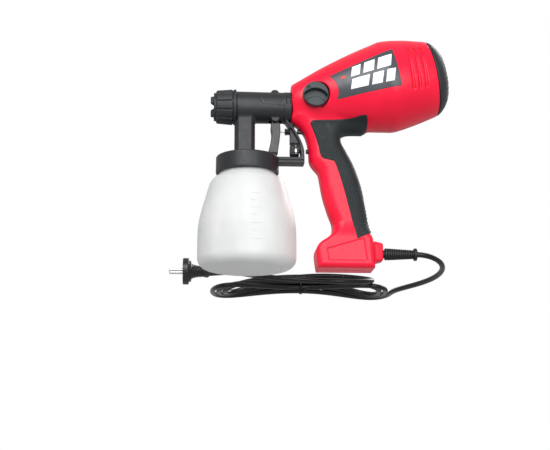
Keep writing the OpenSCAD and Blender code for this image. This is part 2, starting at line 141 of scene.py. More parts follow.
def smooth_step(a, b, v):
    t = np.clip((v - a) / (b - a), 0, 1)
    return t * t * (3 - 2 * t)


def motor_axis(x, y, z):
    """Distance along the motor's axis, and distance from it."""
    c, s = math.cos(AXIS_TILT), math.sin(AXIS_TILT)
    dx, dz = x - AXIS_X, z - AXIS_Z
    return dx * c + dz * s, np.hypot(y, dz * c - dx * s)


def above_axis(x, z):
    """Height above the motor's axis, square to it."""
    return (z - AXIS_Z) * math.cos(AXIS_TILT) - (x - AXIS_X) * math.sin(AXIS_TILT)


# ---------------------------------------------------------------- meshes
def new_object(name, verts, faces, smooth=True):
    mesh = bpy.data.meshes.new(name)
    mesh.from_pydata([tuple(v) for v in np.asarray(verts) * MM], [], [tuple(map(int, f)) for f in faces])
    mesh.validate()
    bm = bmesh.new()
    bm.from_mesh(mesh)
    bmesh.ops.recalc_face_normals(bm, faces=bm.faces)
    bm.to_mesh(mesh)
    bm.free()
    if smooth:
        mesh.shade_smooth()
    obj = bpy.data.objects.new(name, mesh)
    bpy.context.collection.objects.link(obj)
    return obj


def solid(name, distance, lo, hi, step, polish=3):
    """Closed mesh of the surface where distance(x, y, z) is zero, inside the box lo to hi."""
    lo = np.array(lo, float) - 2.5 * step
    counts = np.ceil((np.array(hi) + 2.5 * step - lo) / step).astype(int) + 1
    ax = [lo[i] + step * np.arange(counts[i]) for i in range(3)]
    field = distance(ax[0][:, None, None], ax[1][None, :, None], ax[2][None, None, :])
    field = np.ascontiguousarray(np.broadcast_to(field, counts), dtype=np.float32)
    grid = openvdb.FloatGrid(background=float(4 * step))
    grid.copyFromArray(field)
    verts, quads = grid.convertToQuads(isovalue=0.0)
    verts = np.array(verts, float) * step + lo
    for _ in range(polish):
        verts = polished(distance, verts, step)
    return new_object(name, verts, quads)


def polished(distance, verts, step):
    """Moves each point onto the surface, along the distance's slope."""
    e = 0.15 * step
    x, y, z = verts.T
    d = distance(x, y, z)
    g = np.stack([distance(x + e, y, z) - distance(x - e, y, z),
                  distance(x, y + e, z) - distance(x, y - e, z),
                  distance(x, y, z + e) - distance(x, y, z - e)], 1) / (2 * e)
    size = (g * g).sum(1)
    move = -g * (d / np.maximum(size, 0.2))[:, None]
    length = np.linalg.norm(move, axis=1)
    return verts + move * np.minimum(1, 0.4 * step / np.maximum(length, 1e-9))[:, None]


# ---------------------------------------------------------------- motor housing and handle
HOUSING_PROFILE = spline([(-6, 18), (0, 20.8), (8, 24.8), (19, 28.8), (51, 40.5), (91, 52.4),
                          (118, 58.0), (132, 59.8), (157, 56.2), (SHELL_END, 48.9), (206, 44.5)])
HANDLE_OUTLINE = np.concatenate([
    spline([(60, 212), (52, 198), (64, 190.5), (72.8, 180.5), (77.4, 169), (79.6, 155), (80.6, 142),
            (85.5, 133.5), (91.3, 126.5), (93.6, 116.5), (97, 97), (103.4, 74.7), (109.2, 58.5),
            (109.2, 48.5), (103.5, 40.5), (94, 34), (88.6, 27), (87.3, 18.5), (89.4, 2), (90.5, -0.2)]),
    spline([(161.5, -0.2), (162.6, 3), (161.6, 20), (160.3, 38), (156.5, 51), (152.6, 74.7),
            (148.5, 101.7), (143, 122), (136.6, 139.3), (128, 156), (121, 172), (124, 196), (110, 222)])
])


HEEL_OUTLINE = np.array([(96, 215), (110, 181.5), (150, 182.5), (168, 199), (160, 215)], float)


TOP_BULGE = 3.6


def top_bulge(x, z, t, rho):
    """How much fuller than round the housing is along its top, growing towards the rear."""
    share = np.clip(above_axis(x, z) / np.maximum(rho, 1), 0, 1) ** 2
    return TOP_BULGE * smooth_step(90, 170, t) * share


def housing_wall(x, z, t, rho):
    """Distance out from the round housing's outer surface."""
    return rho - np.interp(t, HOUSING_PROFILE[:, 0], HOUSING_PROFILE[:, 1]) - top_bulge(x, z, t, rho)


def housing_form(x, y, z):
    """Outer surface of both shells together."""
    t, rho = motor_axis(x, y, z)
    body = housing_wall(x, z, t, rho) * 0.96
    body = smooth_max(body, t - SHELL_END, 1.2)
    foot = smooth_step(62, 38, z)
    half = 18.8 + 5.2 * foot
    edge = 15.5 - 8.5 * foot
    handle = rounded_slab(outline_distance(HANDLE_OUTLINE, x, z), np.abs(y) - half, edge)
    # Heel that carries the handle's rear edge on under the housing
    heel = rounded_slab(outline_distance(HEEL_OUTLINE, x, z), np.abs(y) - 17, 13)
    form = smooth_min(smooth_min(body, handle, 11), heel, 9)
    taper = 2.5 * smooth_step(162, 177, x)
    boss = box_distance(x, y, z, (150, -11.5, CORD_Z - 12), (177, 11.5, CORD_Z + 15.5), 4.5) + taper
    form = smooth_min(form, boss, 4.0)
    return smooth_max(form, FRONT_X - x, 2.0)


def half_shell(name, side):
    """One red half shell, hollow behind the rear cover and open around the controls."""
    def distance(x, y, z):
        d = housing_form(x, y, z)
        t, rho = motor_axis(x, y, z)
        inner = np.maximum(housing_wall(x, z, t, rho) + SHELL_WALL, SHELL_END - COVER_SEAT - t)
        d = smooth_max(d, -inner, 0.8)
        # Bayonet socket for the head, holes for the two buttons and the cord's boot
        d = smooth_max(d, -np.maximum(np.hypot(y, z - BARREL_Z) - 17.3, x - 67), 0.8)
        d = smooth_max(d, -np.maximum(np.hypot(y, z - BUTTON_Z) - 3.7, x - 84), 0.6)
        d = smooth_max(d, -np.maximum(np.hypot(y, z - LOCK_Z) - 3.7, x - 90), 0.6)
        d = smooth_max(d, -(np.hypot(y, z - CORD_Z) - 5.6 + 9 * (x < 168)), 0.6)
        d = smooth_max(d, -vent_grooves(x, y, z, t, rho, side), 0.35)
        if side < 0:
            dial = np.hypot(x - DIAL[0], z - DIAL[1])
            pocket = np.maximum(dial - DIAL_R - 1.3, y + DIAL_SEAT - 6.5)
            d = smooth_max(d, -pocket, 1.6)
            d = np.maximum(d, -np.maximum(dial - 3.4, y + 14))
        panel = rounded_slab(outline_distance(FOOT_PANEL, x, z), 23.1 - side * y, 0.5)
        d = smooth_max(d, -panel, 0.6)
        for sx, sz in SCREWS if side > 0 else ():
            d = smooth_max(d, -np.maximum(np.hypot(x - sx, z - sz) - 3.6, 4 - y), 0.6)
        return smooth_max(d, SEAM - side * y, 0.6)
    lo, hi = (FRONT_X, 0, 0), (253, 60, 311)
    if side < 0:
        lo, hi = (FRONT_X, -60, 0), (253, 0, 311)
    return solid(name, distance, lo, hi, 1.0)


SCREWS = [(98, 14), (140, 12), (104, 100), (98, 150), (200, 200), (185, 297)]
FOOT_PANEL = np.array([(103, 9), (101, 24), (148, 38), (152, 9)], float)


def vent_grooves(x, y, z, t, rho, side):
    """Three long grooves that curve round each flank near the rear, with round ends."""
    up = above_axis(x, z)
    wall = 1.05 * housing_wall(x, z, t, rho)
    first, spacing, lean, half_length, radius = 156.5, 8.9, 0.065, 28, 2.2
    out = 1e3
    for i in range(3):
        past_end = np.maximum(np.abs(up - 6) - half_length + 0.8 * i, 0)
        across = t - first - spacing * i - lean * up
        out = np.minimum(out, np.hypot(np.hypot(across, past_end), wall) - radius)
    return out + 20 * (side * y < 2)


# ---------------------------------------------------------------- grips and decals
GRIP_OUTLINE = np.concatenate([
    spline([(80.6, 190.5), (84.7, 194.3), (100, 194.8), (116, 195), (136, 196.6), (147.5, 198.8),
            (153, 198.2), (155.6, 192), (156.5, 176)]),
    spline([(168, 150), (172, 52)]),
    spline([(139.6, 36.8), (135.6, 54), (129.9, 78), (122, 109.2), (113, 137), (108.5, 140.6),
            (97.5, 143.4), (93.7, 148.5), (91.2, 160), (86.4, 175.7), (80.6, 190.5)])
])


DOT_PITCH = 3.6


def grip(name, side):
    """Rubber on one flank: stands proud of the shell, with dots on its front part."""
    def distance(x, y, z):
        form = housing_form(x, y, z)
        edge = outline_distance(GRIP_OUTLINE, x, z)
        rise = 0.87 * DOT_PITCH
        row = np.floor(z / rise)
        dx = (x + 0.5 * DOT_PITCH * (row % 2)) % DOT_PITCH - DOT_PITCH / 2
        dz = z % rise - rise / 2
        dotted = smooth_step(1.2, 2.4, -edge) * smooth_step(0, 1.5, dot_zone(x, z))
        dots = 0.6 * smooth_step(1.45, 0.75, np.hypot(dx, dz)) * dotted
        top = form - 0.55 - 0.35 * smooth_step(0.0, 2.2, -edge) - dots
        d = smooth_max(top, edge, 0.7)
        d = np.maximum(d, -(form + 1.6))
        return smooth_max(d, SEAM - side * y, 0.5)
    lo, hi = (80, 0, 36), (160, 40, 198)
    if side < 0:
        lo, hi = (80, -40, 36), (160, 0, 198)
    return solid(name, distance, lo, hi, 0.6, polish=2)


def dot_zone(x, z):
    """Positive in the front part of the grip, ahead of a slanting line."""
    return 99.5 + 0.49 * (192 - z) - x


def inlay(name, outline, side, inner, outer, step):
    """A thin sheet that follows the housing's surface within an outline seen from the side."""
    shape = np.array(outline, float)
    def distance(x, y, z):
        form = housing_form(x, y, z)
        d = np.maximum(form - outer, -(form + inner))
        return smooth_max(np.maximum(d, outline_distance(shape, x, z)), 8 - side * y, 0.2)
    lo = (shape[:, 0].min() - 1, 8, shape[:, 1].min() - 1)
    hi = (shape[:, 0].max() + 1, 60, shape[:, 1].max() + 1)
    if side < 0:
        lo, hi = (lo[0], -60, lo[2]), (hi[0], -8, hi[2])
    return solid(name, distance, lo, hi, step, polish=2)


# ---------------------------------------------------------------- round parts
def lathe(name, profile, origin=(0, 0, 0), axis=(1, 0, 0), around=96, closed=False, shape=None):
    """Turns (distance along, radius) points about an axis. shape, if given, varies the radius."""
    profile = np.array(profile, float)
    axis = np.array(axis, float) / np.linalg.norm(axis)
    side = np.cross((0, 1, 0), axis)
    if np.linalg.norm(side) < 0.1:
        side = np.array((1.0, 0, 0))
    side /= np.linalg.norm(side)
    third = np.cross(axis, side)
    verts, faces = [], []
    n = len(profile)
    for along, radius in profile:
        for k in range(around):
            a = 2 * math.pi * k / around
            r = radius if shape is None or radius < 1e-6 else shape(a, along, radius)
            verts.append(np.array(origin) + axis * along + r * (math.cos(a) * side + math.sin(a) * third))
    for i in range(n if closed else n - 1):
        j = (i + 1) % n
        for k in range(around):
            m = (k + 1) % around
            faces.append((i * around + k, j * around + k, j * around + m, i * around + m))
    if not closed:
        faces += [tuple(range(around)), tuple((n - 1) * around + k for k in range(around))]
    return new_object(name, verts, faces)


def rounded(points, r=0.6, steps=3):
    """The open outline with each inner corner cut by a small arc of radius about r."""
    p = [np.array(q, float) for q in points]
    out = [p[0]]
    for a, b, c in zip(p, p[1:], p[2:]):
        u, v = a - b, c - b
        cut = min(r, 0.45 * np.linalg.norm(u), 0.45 * np.linalg.norm(v))
        start, end = b + u / np.linalg.norm(u) * cut, b + v / np.linalg.norm(v) * cut
        for k in range(steps + 1):
            t = k / steps
            out.append((1 - t) ** 2 * start + 2 * t * (1 - t) * b + t * t * end)
    out.append(p[-1])
    return out


# ---------------------------------------------------------------- spray head
FLANGE_REAR = spline([(49.5, 201), (54.4, 194), (62, 184), (68.6, 172), (73, 160), (74, 149), (74, 139)])
FLANGE_FRONT = spline([(70.6, 139), (69.6, 148), (68.8, 158), (68.0, 165.5), (65.2, 172), (59.2, 182.5),
                       (51.8, 192.5), (46.7, 201)])
FLANGE_OUTLINE = np.concatenate([FLANGE_REAR, FLANGE_FRONT])
MOULDED_LINE = np.array([(13, 231), (16, 222), (21, 214.5), (46, 212.5)], float)
WEB_OUTLINE = np.array([(55.4, 205), (55.4, 166.6), (70, 166.6), (62, 184), (57, 205)], float)


def head_form(x, y, z):
    """Barrel, stem, lid and guard of the spray head, as one moulding."""
    radial = np.hypot(y, z - BARREL_Z)
    along = (x + 14.7) / 71.7
    barrel = rounded_slab(radial - (21.0 - 0.6 * along), np.maximum(-14.7 - x, x - 56.9), 0.8)
    sleeve = rounded_slab(radial - 21.0, np.maximum(47.2 - x, x - 56.9), 0.7)
    hump = box_distance(x, y, z, (30.6, -7.5, BARREL_Z + 10), (41.0, 7.5, BARREL_Z + 23.9), 4.0)
    d = smooth_min(np.minimum(barrel, sleeve), hump, 1.6)
    stem = box_distance(x, y, z, (-17, -14, LID_Z + 15), (9.6, 14, BARREL_Z - 6), 0.8)
    corner = (np.abs(x + 3.7) + np.abs(y)) * 0.7071 - 15.8
    stem = smooth_max(stem, corner, 0.5)
    d = smooth_min(d, stem, 2.5)
    rim = np.hypot(x, y)
    lid = rounded_slab(rim - LID_R + 0.012 * (z - LID_Z), np.maximum(LID_Z - z, z - LID_Z - LID_H), 2.2)
    d = smooth_min(d, lid, 2.0)
    arm = box_distance(x, y, z, (36, -9.5, 139), (74, 9.5, 147.6), 1.3)
    line = np.maximum(np.abs(z - 143.4) - 0.5, 8.8 - np.abs(y))
    flange = rounded_slab(outline_distance(FLANGE_OUTLINE, x, z), np.abs(y) - 9.6, 0.9)
    web = rounded_slab(outline_distance(WEB_OUTLINE, x, z), np.abs(y) - 5.5, 0.7)
    guard = smooth_min(np.minimum(arm, flange), web, 1.5)
    # Cheeks that cover the ends of the trigger's pin
    cheek = rounded_slab(np.hypot(x - PIVOT_X, z - PIVOT_Z - 1.5) - 5.4, np.abs(np.abs(y) - 11.3) - 1.5, 0.5)
    d = smooth_min(d, cheek, 0.8)
    return np.minimum(d, smooth_max(guard, -line, 0.5))


def head(name):
    def distance(x, y, z):
        radial = np.hypot(y, z - BARREL_Z)
        d = head_form(x, y, z)
        # Bayonet plug behind, collar for the nut in front
        d = smooth_min(d, rod_distance(x, y, z, 50, 66, 0, BARREL_Z, 16.3, 0.8), 0.6)
        d = np.minimum(d, rod_distance(x, y, z, -22, -10, 0, BARREL_Z, 18.9, 0.5))
        d = smooth_max(d, -np.maximum(radial - 14, 45 - x), 0.6)
        d = smooth_max(d, -np.maximum(radial - 12.1, x + 12), 0.6)
        # Space for the container's neck under the lid
        d = smooth_max(d, -np.maximum(np.hypot(x, y) - NECK_R - 0.9, z - LID_Z - 17), 0.8)
        hub = np.maximum(np.abs(np.hypot(x + 7.3, y) - 6.9) - 3.1, np.maximum(LID_Z + 1 - z, z - LID_Z - 20))
        d = smooth_min(d, hub, 0.6)
        # Slot and pin bore of the trigger, holes for its rod and the flow knob
        slot = box_distance(x, y, z, (28, -6.4, BARREL_Z - 23), (44, 6.4, BARREL_Z - 14.2), 0.4)
        d = smooth_max(d, -slot, 0.5)
        d = np.maximum(d, -np.maximum(np.hypot(x - PIVOT_X, z - PIVOT_Z) - PIN_BORE, np.abs(y) - 9.6))
        d = smooth_max(d, -np.maximum(np.hypot(y, z - BUTTON_Z) - 1.9, 45 - x), 0.3)
        d = smooth_max(d, -np.maximum(np.hypot(y, z - KNOB_Z) - 3.0, 60 - x), 0.3)
        # Moulded line on the flank, and the sleeve's window
        window = box_distance(x, np.abs(y), z, (50, 17, BARREL_Z - 0.5), (55.6, 30, BARREL_Z + 10), 0.5)
        groove = np.maximum(line_distance(MOULDED_LINE, x, z) - 0.45, 20.2 - radial)
        d = smooth_max(d, -groove, 0.5)
        return smooth_max(d, -window, 0.4)
    return solid(name, distance, (-42, -42, 124), (75, 42, 242), 0.9)


def trigger_blade(name):
    outline = np.concatenate([
        spline([(31, 193.4), (30.4, 187), (31.4, 179), (30.4, 170), (28.4, 160), (26.4, 152.6)]),
        spline([(39.4, 152.4), (40.6, 162), (42.0, 172), (42.8, 184), (42.2, 193.4)])])
    def distance(x, y, z):
        blade = rounded_slab(outline_distance(outline, x, z), np.abs(y) - 9.2, 1.6)
        scoop = np.hypot(x - 12, (z - 172)) - 19.2 + 0.045 * y * y
        blade = smooth_max(blade, -scoop, 1.2)
        neck = box_distance(x, y, z, (31.2, -6, 186), (40.6, 6, 200.4), 1.4)
        d = smooth_min(blade, neck, 1.5)
        rib = np.maximum(np.abs(np.abs(y) - 6.3) - 0.35, 34.5 - x)
        d = smooth_max(d, -np.maximum(rib, -(blade + 0.7)), 0.4)
        return np.maximum(d, -(np.hypot(x - PIVOT_X, z - PIVOT_Z) - PIN_BORE))
    return solid(name, distance, (25, -9.5, 152), (44, 9.5, 201), 0.55)


def dial(name):
    """Speed dial on the left flank: a round knob with a deep curved finger valley."""
    def distance(x, y, z):
        dx, dz = x - DIAL[0], z - DIAL[1]
        r = np.hypot(dx, dz)
        d = rounded_slab(r - DIAL_R, np.maximum(-y - 37.8, y + 28), 1.4)
        # Valley between two arcs, with a low lens below it
        upper = smooth_step(19.4, 17.4, np.hypot(dx + 0.5, dz + 11.5))
        lens = smooth_step(14.0, 12.0, np.hypot(dx + 0.5, dz + 16))
        floor_y = -37.8 + 7.6 * upper - 4.8 * lens
        d = smooth_max(d, -np.maximum(y - floor_y, r - 15.4) * 0.7, 0.7)
        notch = np.maximum(np.hypot(dx + 9.2, dz - 8.2) - 2.3, 36.9 + y)
        d = smooth_max(d, -notch, 0.5)
        slot = box_distance(dx, y, dz, (-11.2, -40, 7.8), (-7.2, -36.2, 8.6), 0.2)
        return smooth_max(d, -slot, 0.3)
    return solid(name, distance, (70, -39, 208), (104, -27, 242), 0.45)


def cap_nut(name):
    """Ribbed nut with twelve raised panels round it and a thin collar behind."""
    def distance(x, y, z):
        radial = np.hypot(y, z - BARREL_Z)
        turn = np.arctan2(z - BARREL_Z, y)
        taper = 0.08 * (x + 17)
        base = rounded_slab(radial - 22.2 - taper, np.maximum(-41.6 - x, x + 17.3), 1.0)
        sector = math.pi / 6
        local = (turn + 20) % sector - sector / 2
        panel = rounded_slab(np.abs(local) * radial - 4.9, np.maximum(-40.6 - x, x + 20.2), 0.8)
        panel = smooth_max(panel, radial - 23.6 - taper, 0.6)
        d = smooth_min(base, np.maximum(panel, 18 - radial), 0.8)
        d = np.minimum(d, rod_distance(x, y, z, -18.6, -14.9, 0, BARREL_Z, 23.4, 0.7))
        bore = np.where(x < -31, radial - 18.6, radial - 19.05)
        return smooth_max(d, -np.minimum(bore, np.maximum(radial - 21.1, -17 - x)), 0.5)
    return solid(name, distance, (-42, -24, 192), (-14, 24, 240), 0.6)


def air_cap(name):
    """Air cap with its two horns, a round centre hole and small side jets."""
    def distance(x, y, z):
        c, s = math.cos(HORN_TURN), math.sin(HORN_TURN)
        y, h = y * c + (z - BARREL_Z) * s, (z - BARREL_Z) * c - y * s
        radial = np.hypot(y, h)
        d = rounded_slab(radial - 18.5, np.maximum(-44.4 - x, x + 31), 1.0)
        dish = np.maximum(radial - 10.5, x + 42.2)
        d = smooth_max(d, -dish, 1.0)
        horn = box_distance(x, y, np.abs(h), (-48.6, -5, 9.2), (-40, 5, 17), 1.4)
        slope = (-x - 48) * 0.7 + (9.6 - np.abs(h)) * 0.7 + 2.2
        horn = smooth_max(horn, slope, 0.6)
        d = smooth_min(d, horn, 1.2)
        jet = np.hypot(y, np.abs(h) - 11.5 + 0.8 * (x + 47)) - 0.9
        d = smooth_max(d, -np.maximum(jet, x + 42), 0.3)
        holes = np.hypot(np.abs(y) - 5.2, np.abs(h) - 5.2) - 0.8
        d = smooth_max(d, -np.maximum(holes, x + 38), 0.3)
        d = smooth_max(d, -np.maximum(radial - 13.5 + 0.55 * (-31 - x), -41 - x), 0.5)
        return smooth_max(d, -(radial - 5.0), 0.5)
    return solid(name, distance, (-49, -19, 197), (-31, 19, 235), 0.45)


# ---------------------------------------------------------------- container
CUP_SIDE = spline([(63.5, 14.5), (63.5, 38), (62.9, 54), (60.2, 70), (55.6, 87), (50.2, 106),
                   (46.6, 114.5), (40.5, 120.5), (37.2, 123.2), (36.3, 125)], 8)


def container_marks(name):
    """Plain raised ticks, long and short in turn, on the side towards the gun's left."""
    verts, faces, count = [], [], 12
    for i, height in enumerate(range(28, 98, 10)):
        half = 0.115 if i % 2 == 0 else 0.055
        for k in range(count + 1):
            a = -1.42 - 0.115 + half + half * (2 * k / count - 1)
            for lift, z in ((-0.3, -0.6), (0.4, -0.45), (0.4, 0.45), (-0.3, 0.6)):
                r = np.interp(height + z, CUP_SIDE[:, 1], CUP_SIDE[:, 0]) + lift
                verts.append((r * math.cos(a), r * math.sin(a), height + z))
        base = i * 4 * (count + 1)
        for k in range(count):
            p, q = base + 4 * k, base + 4 * k + 4
            faces += [(p + j, q + j, q + (j + 1) % 4, p + (j + 1) % 4) for j in range(4)]
        faces += [tuple(range(base, base + 4)), tuple(range(base + 4 * count, base + 4 * count + 4))]
    return new_object(name, verts, faces, smooth=False)


def container(name):
    """Translucent cup: a closed wall with a threaded neck."""
    outer = rounded([(0, 0.8), (44, 0.8), (46, 0), (49.5, 0)], 1.0)[:-1]
    outer += [(49.5 + 14 * math.sin(a), 14 - 14 * math.cos(a)) for a in np.radians(range(0, 91, 10))]
    outer += [tuple(p) for p in CUP_SIDE] + [(NECK_R, z) for z in np.linspace(125.5, NECK_TOP - 0.5, 34)]
    outer += [(NECK_R - 0.5, NECK_TOP)]
    inner = [(NECK_R - CUP_WALL + 0.4, NECK_TOP), (NECK_R - CUP_WALL, NECK_TOP - 0.5)]
    inner += [(r - CUP_WALL, z) for r, z in reversed(outer) if 16 < z < 125.4]
    inner += [(49.5 + 12.2 * math.sin(a), 14 - 12.2 * math.cos(a)) for a in np.radians(range(90, -1, -10))]
    inner += [(44, 2.4), (0, 2.4)]

    def shape(angle, z, r):
        if r > NECK_R - 0.2 and z > 126.5 and z < 138 and r < NECK_R + 0.2:
            phase = (z - 127.5 - 3.2 * angle / (2 * math.pi)) / 3.2
            gap = abs(phase - round(phase)) * 3.2
            r += 0.75 * max(0.0, 1 - (gap / 1.0) ** 2)
        return r
    return lathe(name, [(z, r) for r, z in outer + inner], (0, 0, 0), (0, 0, 1), 192, False, shape)


# ---------------------------------------------------------------- cord and plug
def bezier(points, t):
    p = [np.array(q, float) for q in points]
    while len(p) > 1:
        p = [a + (b - a) * t for a, b in zip(p, p[1:])]
    return p[0]


BUNDLE_X, BUNDLE_Y, LAPS = 85.0, 200.0, 2.75


def bundle_point(u):
    a = 2 * math.pi * u
    return np.array([BUNDLE_X + (132 - 9 * u) * math.cos(a),
                     BUNDLE_Y + math.sin(a) * (3.7 + (128 - 22 * u) * math.cos(a) ** 2),
                     CORD_R + 0.2 + (2 * CORD_R + 0.6) * u * math.sin(a) ** 2])


def cord_path():
    lead = [(BOOT_END + 1, 0, CORD_Z), (BOOT_END + 35, 0, CORD_Z), (BOOT_END + 62, 30, CORD_R + 0.1),
            (BOOT_END + 50, 110, CORD_R), (217, 140, CORD_R), (217, BUNDLE_Y, CORD_R)]
    start = bundle_point(LAPS)
    px, py, pz = PLUG
    low = CORD_R + 0.1
    tail = [start, start + (55, 0, 6), (205, BUNDLE_Y - 5, 24), (215, BUNDLE_Y - 60, low), (205, 96, low),
            (110, 110, low), (30, py, low), (px + 85, py, pz), (px + 60, py, pz)]
    path = [np.array((153.0, 0, CORD_Z))]
    path += [bezier(lead, i / 90) for i in range(90)]
    path += [bundle_point(i * LAPS / 420) for i in range(420)]
    path += [bezier(tail, i / 120) for i in range(120)]
    return path + [np.array((px + 60.0, py, pz)), np.array((px + 41.0, py, pz))]


def tube(name, path, radius, around=16):
    """Sweeps a round section along a path, closed at both ends."""
    path = np.array(path, float)
    n = len(path)
    along = np.gradient(path, axis=0)
    along /= np.linalg.norm(along, axis=1)[:, None]
    side = np.cross((0, 0, 1), along)
    side /= np.linalg.norm(side, axis=1)[:, None]
    up = np.cross(along, side)
    verts, faces = [], []
    for i in range(n):
        for k in range(around):
            a = 2 * math.pi * k / around
            verts.append(path[i] + radius * (math.cos(a) * side[i] + math.sin(a) * up[i]))
    for i in range(n - 1):
        for k in range(around):
            m = (k + 1) % around
            faces.append((i * around + k, (i + 1) * around + k, (i + 1) * around + m, i * around + m))
    faces += [tuple(range(around)), tuple((n - 1) * around + k for k in range(around))]
    return new_object(name, verts, faces)


# ---------------------------------------------------------------- materials
def nodes_of(name):
    m = bpy.data.materials.new(name)
    m.use_nodes = True
    tree = m.node_tree
    shader = tree.nodes["Principled BSDF"]

    def node(kind, **values):
        n = tree.nodes.new(kind)
        for key, value in values.items():
            if key in n.inputs:
                n.inputs[key].default_value = value
            else:
                setattr(n, key, value)
        return n
    return m, tree.links.new, node, shader


def noise(link, node, scale, detail=2.0, stretch=(1, 1, 1)):
    place = node("ShaderNodeTexCoord")
    mapping = node("ShaderNodeMapping")
    mapping.inputs["Scale"].default_value = stretch
    link(place.outputs["Object"], mapping.inputs["Vector"])
    out = node("ShaderNodeTexNoise", Scale=scale, Detail=detail)
    link(mapping.outputs["Vector"], out.inputs["Vector"])
    return out.outputs["Fac"]


def remap(link, node, value, low, high, start=0.3, end=0.7):
    r = node("ShaderNodeMapRange")
    for key, number in (("From Min", start), ("From Max", end), ("To Min", low), ("To Max", high)):
        r.inputs[key].default_value = number
    link(value, r.inputs["Value"])
    return r.outputs["Result"]


def mixed(link, node, factor, a, b):
    m = node("ShaderNodeMix", data_type="RGBA")
    link(factor, m.inputs["Factor"])
    for socket, value in ((m.inputs["A"], a), (m.inputs["B"], b)):
        if isinstance(value, tuple):
            socket.default_value = (*value, 1)
        else:
            link(value, socket)
    return m.outputs["Result"]


def finish(name, colour, rough=(0.3, 0.4), grain=0.35, bump=0.06, vary=0.06, wear=0.25,
           metal=0.0, stretch=(1, 1, 1), gloss=0.5):
    """Moulded or metal surface: fine grain, slow colour drift, lighter rubbed edges, and painted shade in
    grooves and joints.
    """
    m, link, node, shader = nodes_of(name)
    fine = noise(link, node, 1000 / grain, 3.0, stretch)
    slow = noise(link, node, 22.0, 2.0)
    medium = noise(link, node, 160.0, 4.0)
    lighter = tuple(min(1.0, c * (1 + vary) + 0.004) for c in colour)
    darker = tuple(c * (1 - vary) for c in colour)
    base = mixed(link, node, remap(link, node, slow, 0, 1), darker, lighter)
    point = node("ShaderNodeNewGeometry")
    edges = remap(link, node, point.outputs["Pointiness"], 0, wear, 0.51, 0.60)
    rubbed = tuple(min(1.0, c * 1.5 + 0.05) for c in colour)
    base = mixed(link, node, edges, base, rubbed)
    # Painted shade: ambient occlusion darkens the base colour in grooves, joints and hollows, standing in for
    # the shade that falls there
    hollow = node("ShaderNodeAmbientOcclusion", Distance=0.005, samples=8)
    deep = tuple(c * 0.25 for c in colour)
    base = mixed(link, node, remap(link, node, hollow.outputs["AO"], 0, 1, 0.25, 0.85), deep, base)
    link(base, shader.inputs["Base Color"])
    link(remap(link, node, medium, rough[0], rough[1], 0.3, 0.7), shader.inputs["Roughness"])
    b = node("ShaderNodeBump", Strength=bump, Distance=0.0002)
    link(fine, b.inputs["Height"])
    link(b.outputs["Normal"], shader.inputs["Normal"])
    shader.inputs["Metallic"].default_value = metal
    shader.inputs["Specular IOR Level"].default_value = gloss
    return m


def translucent(name):
    """Milky polyethylene: light comes through, with a faint uneven wall."""
    m, link, node, shader = nodes_of(name)
    cloud = noise(link, node, 35.0, 3.0, (1, 1, 0.5))
    fine = noise(link, node, 1500.0, 2.0)
    link(mixed(link, node, remap(link, node, cloud, 0, 1), (0.86, 0.88, 0.88), (0.95, 0.96, 0.95)),
         shader.inputs["Base Color"])
    link(remap(link, node, cloud, 0.28, 0.42), shader.inputs["Roughness"])
    b = node("ShaderNodeBump", Strength=0.08, Distance=0.0002)
    link(fine, b.inputs["Height"])
    link(b.outputs["Normal"], shader.inputs["Normal"])
    shader.inputs["IOR"].default_value = 1.35
    shader.inputs["Transmission Weight"].default_value = 0.35
    shader.inputs["Alpha"].default_value = 0.8
    shader.inputs["Subsurface Weight"].default_value = 0.15
    shader.inputs["Subsurface Radius"].default_value = (0.004, 0.004, 0.004)
    return m


